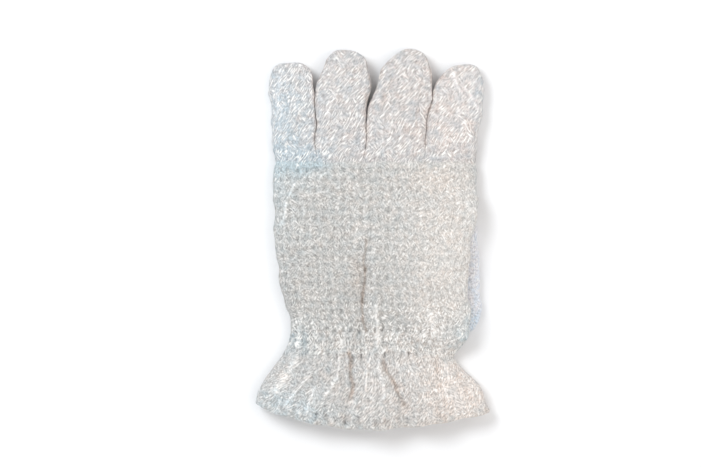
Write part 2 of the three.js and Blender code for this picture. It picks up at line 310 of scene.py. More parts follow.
def section(angle, web=0):
    """A place round a flattened tube. Across is the cosine of the angle. Over the top, the rise is
    (1 - |across|^f)^(1/g), with f and g going to those of a web between two fingers. Under it, the
    rise is a superellipse pressed onto a flat floor at -1, with a rounded change between them."""
    across = np.cos(angle)
    flatness = mix(CROWN_FLATNESS, WEB_FLATNESS, web)
    fullness = mix(CROWN_FULLNESS, WEB_FULLNESS, web)
    crown = np.maximum(0, 1 - np.abs(across) ** flatness) ** (1 / fullness)
    press = UNDER_PRESS * np.sqrt(np.maximum(0, 1 - np.abs(across) ** UNDER_FLATNESS))
    soft = press / (1 + press**UNDER_SOFTNESS) ** (1 / UNDER_SOFTNESS)
    floor = soft * (1 + UNDER_PRESS**UNDER_SOFTNESS) ** (1 / UNDER_SOFTNESS) / UNDER_PRESS
    return across, np.where(np.sin(angle) > 0, crown, -floor)


def height_at(rise, floor, top, side_share=SIDE_SHARE):
    """The height for a rise of -1 at the floor, 0 at the sides and 1 at the top, with the sides at a
    share of the way up."""
    side = mix(floor, top, side_share)
    return np.where(rise > 0, mix(side, top, rise), mix(side, floor, -rise))


def even_angles(half_width, top, steps_over, steps_under):
    """Angles round a section that are equal steps of its length apart, over it and then under it."""
    def half_turn(start, steps):
        dense = np.linspace(start, start + np.pi, SECTION_SAMPLES)
        across, rise = section(dense)
        length = lengths(half_width * across, height_at(rise, 0, top))
        return np.interp(np.linspace(0, length[-1], steps, endpoint=False), length, dense)

    return np.concatenate([half_turn(0, steps_over), half_turn(np.pi, steps_under)])


def lengths(*axes):
    """The length of a line from its first point to each point."""
    steps = np.sqrt(sum(np.diff(axis, axis=-1) ** 2 for axis in axes))
    return np.concatenate([np.zeros_like(steps[..., :1]), np.cumsum(steps, axis=-1)], axis=-1)


# What lies over the whole glove

def thumb_lift(x, y):
    """How far the folded thumb lifts the palm: a ramp across the hand, eased off at both ends."""
    over_thumb = ease(x, *LIFT["ramp"]) * ease(y, *LIFT["root"]) * (1 - ease(y, *LIFT["tip"]))
    return LIFT["height"] * over_thumb


def creases(x, y):
    """The sum of bells across each crease's line, with the distance to the line taken to its
    nearest end beyond it, so that each one has soft round ends."""
    total = np.zeros_like(x)
    x = x + waver(y, CREASE_DRIFT)
    for from_x, from_y, to_x, to_y, height, width in CREASES:
        run = np.array((to_x - from_x, to_y - from_y))
        share = ((x - from_x) * run[0] + (y - from_y) * run[1]) / (run @ run)
        beyond = np.abs(share - np.clip(share, 0, 1)) * np.linalg.norm(run)
        aside = ((x - from_x) * run[1] - (y - from_y) * run[0]) / np.linalg.norm(run)
        total += height * bell(aside, width) * bell(beyond, CREASE_RUN_OUT * width)
    return total


def undulations(x, y):
    """A sum of sines in different directions over the surface."""
    total = np.zeros_like(x)
    for wave_x, wave_y, phase, height in UNDULATIONS:
        total += height * np.sin(2 * np.pi * (wave_x * x + wave_y * y + phase))
    return total


def wandered(points):
    """The points moved over the surface by a sum of sines of their places, about a millimetre at most."""
    x, y, z = np.moveaxis(points, -1, 0)
    shift_x, shift_y = 0, 0
    for wave_x, wave_y, phase, by_x, by_y in WANDER:
        wave = np.sin(2 * np.pi * (wave_x * x + wave_y * y + phase))
        shift_x = shift_x + by_x * wave
        shift_y = shift_y + by_y * wave
    return np.stack([x + shift_x, y + shift_y, z], axis=-1)


def cloth_traits(points, crease, lightness=0, open_cells=0):
    """What the material reads at each point: how deep in a fold it is, for painted shade, how much lighter
    and warmer than the plain cloth, and how open its mesh looks, for painted shade in the cells. A ridge is
    lighter with a painted highlight, the hand is darker and more open than the rest, the right side is
    warmer with painted warm light, and the patches of painted light and shade add their bells."""
    x, y, _ = np.moveaxis(points, -1, 0)
    on_hand = ease(y, HAND_TOP, HAND_TOP - HAND_FADE) * ease(y, HAND_END, HAND_END + HAND_FADE)
    to_right = ease(x, *RIGHT_RAMP)
    traits = np.stack([
        HAND_LIGHTNESS * on_hand,
        PLAIN_WARMTH + RIGHT_WARM_LIGHT * to_right,
        PLAIN_OPENNESS + HAND_OPENNESS * on_hand * (1 - RIGHT_CLOSING * to_right),
    ])
    for patch_x, patch_y, half_width, half_length, *change in PATCHES:
        near = bell(np.hypot((x - patch_x) / half_width, (y - patch_y) / half_length), 1)
        traits = traits + np.array(change)[:, None, None] * near
    crease = np.broadcast_to(crease, x.shape)
    # Painted highlight on the ridges, and the painted shade of the pits passed in as lightness.
    traits[0] += RIDGE_PAINTED_HIGHLIGHT * np.clip(crease / RIDGE, 0, 1) + lightness
    traits[2] += open_cells
    return np.moveaxis(np.stack([np.clip(-crease / RIDGE, 0, 1), *traits]), 0, -1)


# The sleeve: hand, wrist, cuff and hem

def knuckle_dips(x, y):
    """A bell across each line between two fingers, eased out down the back of the hand."""
    near = 1 - ease(BASE_Y - y, 0, VALLEY["length"])
    return -VALLEY["depth"] * near * sum(bell(x - place, VALLEY["width"]) for place in VALLEY["places"])


def knuckle_groove(y):
    """A bell along the glove about the knuckle seam."""
    return -KNUCKLE_GROOVE["depth"] * bell(y - BASE_Y, KNUCKLE_GROOVE["width"])


def back_relief(x, y, across, along):
    """Dips between the fingers, the pleat and its lip, the folds of the cuff that run from their
    places at the elastic to those at the hem, and the fine creases."""
    on_pleat = ease(PLEAT["top_y"] - y, 0, PLEAT["fade"]) * (1 - ease(along, ELASTIC_TOP, ELASTIC_END))
    groove = -PLEAT["depth"] * bell(x - PLEAT["x"], PLEAT["width"])
    lip = PLEAT["lip"] * bell(x - PLEAT["x"] - PLEAT["lip_offset"], PLEAT["width"])
    down_cuff = ease(along, ELASTIC, EDGE)
    folds = sum(
        rise * bell(across - mix(at_elastic, at_hem, down_cuff), width)
        for at_elastic, at_hem, rise, width in CUFF_FOLDS
    )
    at_knuckles = knuckle_dips(x, y) + knuckle_groove(y)
    pleat = on_pleat * (groove + lip)
    return at_knuckles + pleat + down_cuff * folds + creases(x, y) + undulations(x, y)


def sleeve_surface(along, inset, angle):
    """A point of the sleeve for each row (along, inset) and column (angle). A row's line across goes
    from its left to its right end with a bow and a wave, and the section stands on that line, lifted
    where the thumb lies. Inset draws the face in. Also gives the height of the creases."""
    along, inset = along[:, None], inset[:, None]
    left_x, left_y, right_x, right_y, bow, wave, top = read(SLEEVE, along)
    across, rise = section(angle[None, :])
    reach = across * (1 - 2 * inset / (right_x - left_x))
    share = (1 + reach) / 2
    x = mix(left_x, right_x, share)
    y = mix(left_y, right_y, share) + (wave * reach - bow) * (1 - reach**2)
    over = np.maximum(0, rise)
    lift = thumb_lift(x, y)
    relief = back_relief(x, y, across, along)
    z = height_at(rise, lift + inset, top + LIFT["crown_share"] * lift - inset + over * relief)
    return np.stack([x, y, z], axis=-1), creases(x, y) * over


def wall_path(start, end, wall, outer_step, inner_step):
    """Once round a wall's section as (along, inset): down its outer face, round its end, back up its
    inner face and round its start, with rounded edges."""
    corner = np.linspace(0, np.pi / 2, CORNER_STEPS)
    out = EDGE_ROUNDING * (1 - np.cos(corner))
    rim = EDGE_ROUNDING * np.sin(corner)
    first, last = start + EDGE_ROUNDING, end - EDGE_ROUNDING
    outer = np.linspace(first, last, round((last - first) / outer_step) + 1)[1:-1]
    inner = np.linspace(last, first, round((last - first) / inner_step) + 1)[1:-1]
    along = [outer, last + rim, (last + rim)[::-1], inner, first - rim, (first - rim)[::-1]]
    inset = [0 * outer, out, (wall - out)[::-1], 0 * inner + wall, wall - out, out[::-1]]
    return np.concatenate(along), np.concatenate(inset)


CELL_TABLE = 64
CELL_SHARES = np.random.default_rng(11).uniform(0.65, 1.15, (CELL_TABLE, CELL_TABLE))
CELL_WALL = (0.25, 0.8)
CELL_SQUARENESS = 3


def from_cell_middle(across, down):
    """How far a place that is across and down from the middle of a mesh cell is from it, by rounded
    squares: (across^s + down^s)^(1/s), which is 1 at the middle of each edge."""
    return (across**CELL_SQUARENESS + down**CELL_SQUARENESS) ** (1 / CELL_SQUARENESS)


def cell_hollow(u, v):
    """About 1 on the floor of a mesh cell and 0 on the ribs round it: a rounded square about the
    middle of each whole step of u and v, with soft walls. No two neighbours are equally deep."""
    u, v = np.broadcast_arrays(u, v)
    from_middle = from_cell_middle(np.abs(2 * (u % 1) - 1), np.abs(2 * (v % 1) - 1))
    share = CELL_SHARES[np.floor(u).astype(int) % CELL_TABLE, np.floor(v).astype(int) % CELL_TABLE]
    return share * (1 - ease(from_middle, *CELL_WALL))


def crinkles(u, v):
    """A seeded sum of sines in all directions of the cloth, with 0.5 to 1.6 waves a cell, which are 3
    to 12 mm long."""
    lowest, highest = (0, 0.5, 0), (np.pi, 1.6, 1)
    total = 0
    for turn, waves, phase in np.random.default_rng(23).uniform(lowest, highest, (CRINKLE_WAVES, 3)):
        total = total + np.sin(2 * np.pi * (waves * (u * np.cos(turn) + v * np.sin(turn)) + phase))
    return total / np.sqrt(CRINKLE_WAVES)


def outward(points, closed_rows):
    """Unit normals of a grid that is closed round its columns, out of the body it bounds."""
    columns = np.roll(points, -1, axis=1) - np.roll(points, 1, axis=1)
    if closed_rows:
        rows = np.roll(points, -1, axis=0) - np.roll(points, 1, axis=0)
    else:
        rows = np.gradient(points, axis=0)
    normals = np.cross(columns, rows)
    normals /= np.maximum(np.linalg.norm(normals, axis=-1, keepdims=True), 1e-9)
    return normals * np.sign((points * normals).sum() - (points.mean(axis=(0, 1)) * normals).sum())


# Meshes

def closed_surface(points, marks, traits, closed_rows=True, poles=()):
    """A closed surface on a grid of points that closes round its columns, and also round its rows or
    else with a fan of triangles to a pole at each end. Marks are what the corners carry for the
    patterns, with one more column than the points, where a pattern closes round, and traits are what
    the points carry. Faces point out."""
    rows, columns = points.shape[:2]
    row, column = np.indices((rows if closed_rows else rows - 1, columns))
    corners = ((row, column), (row, column + 1), (row + 1, column + 1), (row + 1, column))
    faces = [np.stack([r % rows * columns + c % columns for r, c in corners], axis=-1).reshape(-1, 4)]
    at_corners = np.stack([marks[r % rows, c] for r, c in corners], axis=2)
    corner_marks = [at_corners.reshape(-1, 4, marks.shape[-1])]
    around = np.arange(columns)
    for end, pole in enumerate(poles):
        row = end * (rows - 1)
        one, other = (around, around + 1) if end else (around + 1, around)
        tip = np.full(columns, rows * columns + end)
        middle = np.broadcast_to(marks[row].mean(axis=0), (columns, marks.shape[-1]))
        faces.append(np.stack([row * columns + one % columns, row * columns + other % columns, tip], axis=-1))
        corner_marks.append(np.stack([marks[row, one], marks[row, other], middle], axis=1))
    vertices = np.vstack([points.reshape(-1, 3), *poles])
    ends = [traits[end * (rows - 1)].mean(axis=0) for end in range(len(poles))]
    traits = np.vstack([traits.reshape(-1, traits.shape[-1]), *ends])
    surface = (vertices, faces, corner_marks, traits)
    return surface if volume(vertices, faces) > 0 else turned(surface)


def volume(vertices, faces):
    """Six times the volume inside closed faces, by the triple products of their triangles."""
    total = 0
    for corners in faces:
        for second in range(1, corners.shape[1] - 1):
            a, b, c = (vertices[corners[:, i]] for i in (0, second, second + 1))
            total += (a * np.cross(b, c)).sum()
    return total


def turned(surface):
    """The same surface with its faces turned over."""
    vertices, faces, corner_marks, traits = surface
    return vertices, [face[:, ::-1] for face in faces], [mark[:, ::-1] for mark in corner_marks], traits


def mesh_object(name, surfaces, material):
    """One object of closed surfaces. Its two UV maps are the places of the mesh cells and of the yarn. Its
    point attributes are the depth of the folds, for painted shade, and the lightness, warmth and openness,
    which carry painted light and shade."""
    vertices, faces, corner_marks, traits, count = [], [], [], [], 0
    for points, surface_faces, surface_marks, surface_traits in surfaces:
        vertices.append(wandered(points))
        traits.append(surface_traits)
        corner_marks += [marks.reshape(-1, 4) for marks in surface_marks]
        for corners in surface_faces:
            faces += (corners + count).tolist()
        count += len(points)
    mesh = bpy.data.meshes.new(name)
    mesh.from_pydata((np.vstack(vertices) * MM).tolist(), [], faces)
    corner_marks, traits = np.vstack(corner_marks), np.vstack(traits)
    mesh.uv_layers.new(name="cells").data.foreach_set("uv", corner_marks[:, :2].ravel())
    mesh.uv_layers.new(name="yarn").data.foreach_set("uv", corner_marks[:, 2:].ravel())
    mesh.attributes.new("fold", "FLOAT", "POINT").data.foreach_set("value", traits[:, 0].copy())
    mesh.attributes.new("tone", "FLOAT_VECTOR", "POINT").data.foreach_set("vector", traits[:, 1:].ravel())
    mesh.shade_smooth()
    mesh.materials.append(material)
    piece = bpy.data.objects.new(name, mesh)
    bpy.context.scene.collection.objects.link(piece)
    return piece


# The sizes of the cloth's relief: cells, small crinkles, gathers, the puffs between the rows of elastic
# thread, and the stitches and the rounded edge of the hem. The two fades are ramps in the sine of the
# angle round the section.
CELL_DEPTH = 0.38
CELL_FADE = (-0.3, 0.5)
BACK_FADE = (0, 0.2)
CRINKLE_WAVES = 22
CRINKLE_HEIGHT = 0.1
KNUCKLE_SEAM_SOFTNESS = 1.2
GATHER_HEIGHT = 0.45
GATHER_LEVEL = 0.7
GATHER_REACH = 9
PUFF_HEIGHT = 0.5
PUFF_SINK = 0.2
ELASTIC_GATHERS = 68 / 45
COLUMN_SLANT = 0.07
STITCH_HEIGHT = 0.12
STITCHES_A_CELL = 4
STITCH_SLANT = 0.35
EDGE_FALL = {"depth": 0.5, "width": 1.5}
HEM_OPENNESS = -0.9

# What makes gathers and puffs uneven, by the count of cells round the sleeve. Columns: size, rate,
# phase.
GATHER_DRIFT = ((0.35, 0.9, 0), (0.2, 2.3, 1))
GATHER_SIZES = ((0.4, 1.7, 2),)
PUFF_DRIFT = ((0.3, 1.1, 0), (0.15, 3.1, 0))

# How deep the pits are and how dark their painted shade is, and their depths, uneven by a wave of their own.
PIT_DEPTH = 0.8
PIT_SHADE = 0.62
PIT_SIZES = {"level": 0.75, "swing": 0.35, "rate": 4.3, "drift": 0.2}

# Rows of pits: how far along a row lies, how it swings to and fro round the sleeve, how long and how
# deep its pits are, its middle and its reach in cells, and where in a cell the wall of a pit rises.
# Columns: along, swing, rate, phase, length, depth, middle, reach, wall_start, wall_end.
PIT_ROWS = (
    (ELASTIC_TOP - 1, 0.8, 1.9, 0, 2.4, 0.9, CELLS_OVER / 2, 8, 0, 0.5),
    (ELASTIC_END + 1.2, 0.9, 1.3, 2, 2.3, 1, CELLS_OVER / 2, 8, 0, 0.5),
    (LAST_CELLS, 0, 0, 0, 2.6, 0.62, 15, 7, 0.1, 0.8),
)

# Rows of the mesh down the sleeve: their count at the top of the elastic, and then the rows in the
# elastic, down the cuff to the last one, and over the hem.
COUNT_AT_ELASTIC = 40.5
ELASTIC_ROWS = 5
CUFF_ROWS = 6
HEM_ROWS = 1

# A typical section of the sleeve, by which the columns of its grid are spread.
SLEEVE_HALF_WIDTH = 64
SLEEVE_HEIGHT = 22


def sleeve_v(along):
    """Mesh rows of the sleeve, closer in the elastic: the middle of a row of cells lies on each edge
    of the elastic, and that of the last row just above the seam of the hem."""
    on_hand = ELASTIC_TOP / SLEEVE_PITCH
    rows = np.cumsum((COUNT_AT_ELASTIC - on_hand, on_hand, ELASTIC_ROWS, CUFF_ROWS, HEM_ROWS))
    return np.interp(along, (0, ELASTIC_TOP, ELASTIC_END, LAST_CELLS, EDGE), rows)


def in_elastic(along):
    """1 over the elastic thread and 0 away from it, with a soft change of 5 mm at each edge."""
    return ease(along, ELASTIC_TOP - 2, ELASTIC_TOP + 3) * ease(along, ELASTIC_END + 2, ELASTIC_END - 3)


def before_hem(along):
    """1 on the cuff and 0 on the hem, with a change of 1.5 mm at the seam."""
    return ease(along, HEM_SEAM + 0.5, HEM_SEAM - 1)


def upright(along, u):
    """Places round the sleeve that run straight down through the elastic, where the columns slant."""
    return u + COLUMN_SLANT * (along - ELASTIC)


def gathers(along, u):
    """Small ridges that run out from the elastic, no two alike."""
    away = np.minimum(0, along - ELASTIC_TOP) + np.maximum(0, along - ELASTIC_END)
    u = upright(along, u)
    turns = u + waver(u, GATHER_DRIFT)
    size = GATHER_HEIGHT * (GATHER_LEVEL + waver(u, GATHER_SIZES))
    return size * bell(away, GATHER_REACH) * np.cos(2 * np.pi * turns)


def pits(along, u):
    """Deeper cells in the two rows where the elastic draws the cloth in, most of all about the
    middle of the back, and shallower and wider ones in the last row above the hem, left of its
    middle. A row is a bell along the sleeve by one round it, and each pit has its own depth."""
    from_middle = np.abs(2 * (u % 1) - 1)
    total = 0
    for place, swing, rate, phase, length, depth, middle, reach, wall_start, wall_end in PIT_ROWS:
        in_row = bell(along - place - swing * np.sin(u * rate + phase), length) * bell(u - middle, reach)
        total = total + depth * in_row * (1 - ease(from_middle, wall_start, wall_end))
    wave = np.sin(u * PIT_SIZES["rate"] + along * PIT_SIZES["drift"])
    return total * (PIT_SIZES["level"] + PIT_SIZES["swing"] * wave)


def sleeve_relief(along, u, angle):
    """How far the outer face of the sleeve stands out: mesh cells, small puffs between the rows of
    elastic thread and its fine uneven gathers, the larger gathers, the pits, and the slanting
    stitches and the rounding off of the hem. None of it reaches below a face that lies flat."""
    v = sleeve_v(along)
    over = ease(np.sin(angle), *BACK_FADE)
    elastic, on_cuff = in_elastic(along), before_hem(along)
    turns = ELASTIC_GATHERS * upright(along, u) + waver(u, PUFF_DRIFT)
    puff = (0.5 - 0.5 * np.cos(2 * np.pi * v)) * (0.5 + 0.5 * np.cos(2 * np.pi * turns))
    shirring = elastic * (PUFF_HEIGHT * puff - PUFF_SINK)
    stitch_turns = STITCHES_A_CELL * u + STITCH_SLANT * (along - HEM_SEAM)
    stitches = STITCH_HEIGHT * np.cos(2 * np.pi * stitch_turns) * (1 - on_cuff)
    crumple = gathers(along, u) + CRINKLE_HEIGHT * crinkles(u, v) + stitches + shirring
    with_cells = (1 - elastic) * on_cuff * ease(np.abs(np.sin(angle)), *CELL_FADE)
    cells = CELL_DEPTH * cell_hollow(u, v) * with_cells
    after_seam = ease(along, 0, KNUCKLE_SEAM_SOFTNESS)
    relief = after_seam * (over * crumple - cells) - PIT_DEPTH * pits(along, u)
    return relief - EDGE_FALL["depth"] * ease(along, EDGE - EDGE_FALL["width"], EDGE)


def sleeve_piece(name, start, end, wall, steps, material):
    """A tube of the sleeve: its wall's path carried round the section, with the relief pushed along
    the normals of the outer face, by less and less through the wall."""
    over, under = CELLS_OVER * steps["over"], CELLS_UNDER * steps["under"]
    angle = even_angles(SLEEVE_HALF_WIDTH, SLEEVE_HEIGHT, over, under)
    u = np.concatenate([np.linspace(0, CELLS_OVER, over, endpoint=False),
                        np.linspace(CELLS_OVER, CELLS_OVER + CELLS_UNDER, under + 1)])
    along, inset = wall_path(start, end, wall, steps["outer"], steps["inner"])
    points, crease = sleeve_surface(along, inset, angle)
    outer = 1 - inset / wall
    push = sleeve_relief(along[:, None], u[None, :-1], angle[None, :]) * outer[:, None]
    plain = np.flatnonzero(inset == 0)
    nearest = plain[np.abs(along[:, None] - along[plain]).argmin(axis=1)]
    points = points + push[..., None] * outward(points, True)[nearest]
    # Painted shade in the pits, on the back of the sleeve.
    in_pits = pits(along[:, None], u[None, :-1]) * np.maximum(0, np.sin(angle))
    open_cells = HEM_OPENNESS * (1 - before_hem(along))[:, None]
    traits = cloth_traits(points, crease, -PIT_SHADE * in_pits, open_cells)
    places = (u[None, :], sleeve_v(along)[:, None], u[None, :], along[:, None] / SLEEVE_PITCH)
    marks = np.stack(np.broadcast_arrays(*places), axis=-1)
    return mesh_object(name, [closed_surface(points, marks, traits)], material)


# Pockets: fingers and thumb

POCKET_CELL_DEPTH = 0.3
POCKET_END_FADE = (0.2, 0.5)

# The count of cells at the middle of a pocket's top, which is the middle of a cell.
MIDDLE_COUNT = 20.5

# Columns of the grid over and under a pocket, the steps of its rows outside and inside, and the count
# of cells at its tip.
FINGER_GRID = {"over": 80, "under": 64, "outer": 0.55, "inner": 3, "first_cell": 0.2}
THUMB_GRID = {"over": 84, "under": 70, "outer": 0.6, "inner": 3, "first_cell": 0.3}

# How far the widest place of a pressed side has gone up to the top at the knuckle seam.
PRESSED_AT_SEAM = 0.9

# The shade in the narrow gap between two fingers: the rises between which it fades out, the shares of
# the width left and the distances past the knuckle seam over which it comes in, and its depth as a
# share of a ridge's height.
GAP_SHADE = {"rise": (0.5, 0.95), "tip": (0.4, 0.9), "from_seam": (3, 12), "depth": 0.5}


def rounded_end(half_width, length, roundness, step):
    """Rows of a rounded end, from its pole to its widest line: the share of its length reached and
    the share of its width left, on a superellipse and equal steps of its outline apart."""
    dense = np.linspace(np.pi / 2, 0, END_SAMPLES)
    reach = np.sin(dense) ** (2 / roundness)
    tip = np.maximum(0, np.cos(dense)) ** (2 / roundness)
    outline = lengths(half_width * tip, length * reach)
    at = np.linspace(0, outline[-1], round(outline[-1] / step) + 1)
    return np.interp(at, outline, reach)[1:], np.interp(at, outline, tip)[1:]


def knuckle_heights(x):
    """The heights of the back and of the underside of the hand at the knuckle seam, without the waves
    and the groove of the back."""
    left_x, _, right_x, _, _, _, top = read(SLEEVE, np.zeros_like(x))
    angle = np.arccos(np.clip(2 * (x - left_x) / (right_x - left_x) - 1, -1, 1))
    _, crown = section(angle)
    _, floor = section(-angle)
    back = height_at(crown, 0, top + crown * knuckle_dips(x, np.full_like(x, BASE_Y)))
    return back, height_at(floor, 0, top)


def pocket_section(angle, y, left, right, top, inset, tip, web, pressed):
    """A section of a pocket between two sides. It shrinks by tip where the pocket rounds off, goes
    over to the height of the hand's edge by web near the knuckle seam, and is fuller at a side that
    presses on a neighbour."""
    side = np.where(np.cos(angle) > 0, pressed[1], pressed[0])
    side_share = mix(SIDE_SHARE, mix(PRESSED_SIDE_SHARE, 1, PRESSED_AT_SEAM * web), side * tip)
    across, rise = section(angle, np.maximum(web, PRESSED * side))
    half_width = (right - left) / 2 * tip - inset * np.minimum(1, tip * END_CLOSING)
    x = (left + right) / 2 + across * half_width
    back, underside = knuckle_heights(x)
    level = mix(top, back, web)
    rest = mix(inset, top - inset, SIDE_SHARE)
    over = np.maximum(0, rise)
    relief = over * tip * (undulations(x, y) + knuckle_groove(y) + creases(x, y))
    z = height_at(rise, inset, level - inset, side_share)
    z = mix(rest, mix(z, np.maximum(z, underside + inset), web * (rise < 0)), tip) + relief
    # Painted shade in the gap between two fingers, carried as a fold for the material.
    past_seam = ease(y - BASE_Y, *GAP_SHADE["from_seam"])
    in_gap = side * (1 - ease(over, *GAP_SHADE["rise"])) * ease(tip, *GAP_SHADE["tip"]) * past_seam
    crease = np.where(in_gap > 0, -GAP_SHADE["depth"] * RIDGE * in_gap, creases(x, y) * over)
    return np.stack([x, np.broadcast_to(y, x.shape), z], axis=-1), crease


def finger_face(finger, inset, angle, step):
    """A finger's face as rows from its tip to the knuckle seam, and the pole at its tip."""
    (base_left, base_right), (wide_left, wide_right) = finger["base"], finger["wide"]
    base_top, wide_top = finger["tops"]
    tip_x, tip_y = finger["tip"]
    tip_y = tip_y - inset
    reach, tip = rounded_end((wide_right - wide_left) / 2, tip_y - WIDEST_Y, finger["roundness"], step)
    drift = (tip_x - (wide_left + wide_right) / 2) * reach
    seam_y = BASE_Y + CLEARANCE / 2
    straight = np.linspace(WIDEST_Y, seam_y, round((WIDEST_Y - BASE_Y) / step) + 1)[1:-1]
    straight = np.append(straight, (seam_y + EDGE_ROUNDING, seam_y))
    share = (straight - BASE_Y) / (WIDEST_Y - BASE_Y)
    y = np.concatenate([mix(WIDEST_Y, tip_y, reach), straight])
    at_left, at_right = (mix(*sides, share**power) for sides, power in (
        ((base_left, wide_left), finger["parting"][0]), ((base_right, wide_right), finger["parting"][1])))
    left = np.concatenate([wide_left + drift, at_left]) - SIDE_PRESS
    right = np.concatenate([wide_right + drift, at_right]) + SIDE_PRESS
    top = np.concatenate([wide_top + 0 * drift, mix(base_top, wide_top, share)])
    tip = np.concatenate([tip, np.ones_like(straight)])
    web = 1 - ease(y, BASE_Y, WEB_END_Y)
    rows = [column[:, None] for column in (y, left, right, top, inset + 0 * y, tip, web)]
    points, crease = pocket_section(angle[None, :], *rows, finger["pressed"])
    pole = (tip_x, tip_y, mix(inset, wide_top - inset, SIDE_SHARE))
    return points, crease, tip, pole


def pocket_marks(points, grid):
    """Pattern places by true length, for cells and yarn alike: u from the middle of the top round
    each row, v down the line of the middle column."""
    middle = grid["over"] // 2
    closed = np.concatenate([points, points[:, :1]], axis=1)
    around = lengths(closed[..., 0], closed[..., 2])
    u = (around - around[:, middle:middle + 1]) / POCKET_PITCH + MIDDLE_COUNT
    down = lengths(points[:, middle, 1], points[:, middle, 2]) / POCKET_PITCH + grid["first_cell"]
    v = np.broadcast_to(down[:, None], u.shape)
    return np.stack([u, v, u, v], axis=-1)


def finger_piece(finger, material):
    """A pocket: its outer face from the tip to the knuckle seam, round the wall's rim, and its inner
    face back to the tip."""
    half_width = (finger["wide"][1] - finger["wide"][0]) / 2
    angle = even_angles(half_width, finger["tops"][1], FINGER_GRID["over"], FINGER_GRID["under"])
    points, crease, tip, pole = finger_face(finger, 0, angle, FINGER_GRID["outer"])
    inner, inner_crease, _, inner_pole = finger_face(finger, WALL, angle, FINGER_GRID["inner"])
    marks = pocket_marks(points, FINGER_GRID)
    u, v = marks[:, :-1, 0], marks[:, :-1, 1]
    from_seam = points[:, :, 1] - BASE_Y
    from_ends = ease(from_seam, 0, KNUCKLE_SEAM_SOFTNESS) * ease(tip, *POCKET_END_FADE)[:, None]
    over_top = ease(np.sin(angle), *BACK_FADE)[None, :]
    crumple = over_top * CRINKLE_HEIGHT * crinkles(u, v)
    push = (crumple - POCKET_CELL_DEPTH * cell_hollow(u, v)) * from_ends
    points = points + push[..., None] * outward(points, False)
    points = np.concatenate([points, inner[::-1]])
    marks = np.concatenate([marks, pocket_marks(inner, FINGER_GRID)[::-1]])
    crease = np.concatenate([crease, inner_crease[::-1]])
    surface = closed_surface(points, marks, cloth_traits(points, crease), False, (pole, inner_pole))
    return mesh_object(finger["name"] + "_cloth", [surface], material)


def thumb_face(inset, angle, step):
    """The thumb's face from its tip to its root, closed by a pole at each end."""
    first, last = THUMB_SIDES[0], THUMB_SIDES[-1]

    def end(sides, end_x, end_y):
        y, left, right = sides
        reach, tip = rounded_end((right - left) / 2, abs(end_y - y), THUMB["roundness"], step)
        drift = (end_x - (left + right) / 2) * reach
        return np.stack([mix(y, end_y, reach), left + drift, right + drift, tip])

    tip_x, tip_y = THUMB["tip"]
    root_x, root_y = THUMB["root"]
    middle_y = np.linspace(last[0], first[0], round((last[0] - first[0]) / step) + 1)[1:-1]
    left, right = read(THUMB_SIDES, middle_y)
    middle = np.stack([middle_y, left, right, np.ones_like(left)])
    tip_end = end(last, tip_x, tip_y - inset)
    root_end = end(first, root_x, root_y + inset)[:, ::-1]
    y, left, right, tip = np.concatenate([tip_end, middle, root_end], axis=1)[..., None]
    across, rise = section(angle[None, :])
    half_width = (right - left) / 2 * tip - inset * np.minimum(1, tip * END_CLOSING)
    x = (left + right) / 2 + across * half_width
    low, high = inset, THUMB["top"] - inset
    rest = mix(low, high, SIDE_SHARE)
    z = mix(rest, height_at(rise, low, high), tip)
    points = np.stack([x, np.broadcast_to(y, x.shape), z], axis=-1)
    poles = ((tip_x, tip_y - inset, rest), (root_x, root_y + inset, rest))
    return points, tip, poles


def oval_prism(hole, low, high, sides=64):
    """An upright prism on an ellipse, as a cutter."""
    turn = np.linspace(0, 2 * np.pi, sides, endpoint=False)
    x = hole["x"] + hole["half_width"] * np.cos(turn)
    y = hole["y"] + hole["half_length"] * np.sin(turn)
    rings = [np.stack([x, y, np.full(sides, z)], axis=-1) for z in (low, high)]
    around = np.arange(sides)
    following = (around + 1) % sides
    walls = np.stack([around, following, following + sides, around + sides], axis=-1)
    mesh = bpy.data.meshes.new("cutter")
    faces = walls.tolist() + [around[::-1].tolist(), (around + sides).tolist()]
    mesh.from_pydata((np.vstack(rings) * MM).tolist(), [], faces)
    cutter = bpy.data.objects.new("cutter", mesh)
    bpy.context.scene.collection.objects.link(cutter)
    return cutter


def cut_thumb_hole(piece):
    """Cuts the oval way between the hand and the thumb out of a piece: the top of the thumb's pocket
    and the wall of the hand over it."""
    cutter = oval_prism(THUMB_HOLE, THUMB["top"] / 2, LIFT["height"] + 2 * WALL)
    boolean = piece.modifiers.new("thumb hole", "BOOLEAN")
    boolean.object = cutter
    boolean.operation = "DIFFERENCE"
    boolean.solver = "MANIFOLD"
    evaluated = piece.evaluated_get(bpy.context.evaluated_depsgraph_get())
    mesh = bpy.data.meshes.new_from_object(evaluated)
    piece.modifiers.clear()
    piece.data = mesh
    bpy.data.objects.remove(cutter)


def thumb_piece(material):
    """A pocket closed at both ends: its outer face with the cells, its inner face turned over, and
    the way in cut through its top."""
    angle = even_angles(THUMB["half_width"], THUMB["top"], THUMB_GRID["over"], THUMB_GRID["under"])
    points, tip, poles = thumb_face(0, angle, THUMB_GRID["outer"])
    marks = pocket_marks(points, THUMB_GRID)
    cells = cell_hollow(marks[:, :-1, 0], marks[:, :-1, 1]) * ease(tip, *POCKET_END_FADE)
    points = points - POCKET_CELL_DEPTH * cells[..., None] * outward(points, False)
    outer = closed_surface(points, marks, cloth_traits(points, 0), False, poles)
    points, _, poles = thumb_face(WALL, angle, THUMB_GRID["inner"])
    marks = pocket_marks(points, THUMB_GRID)
    inner = closed_surface(points, marks, cloth_traits(points, 0), False, poles)
    piece = mesh_object("thumb_cloth", [outer, turned(inner)], material)
    cut_thumb_hole(piece)
    return piece


# Materials

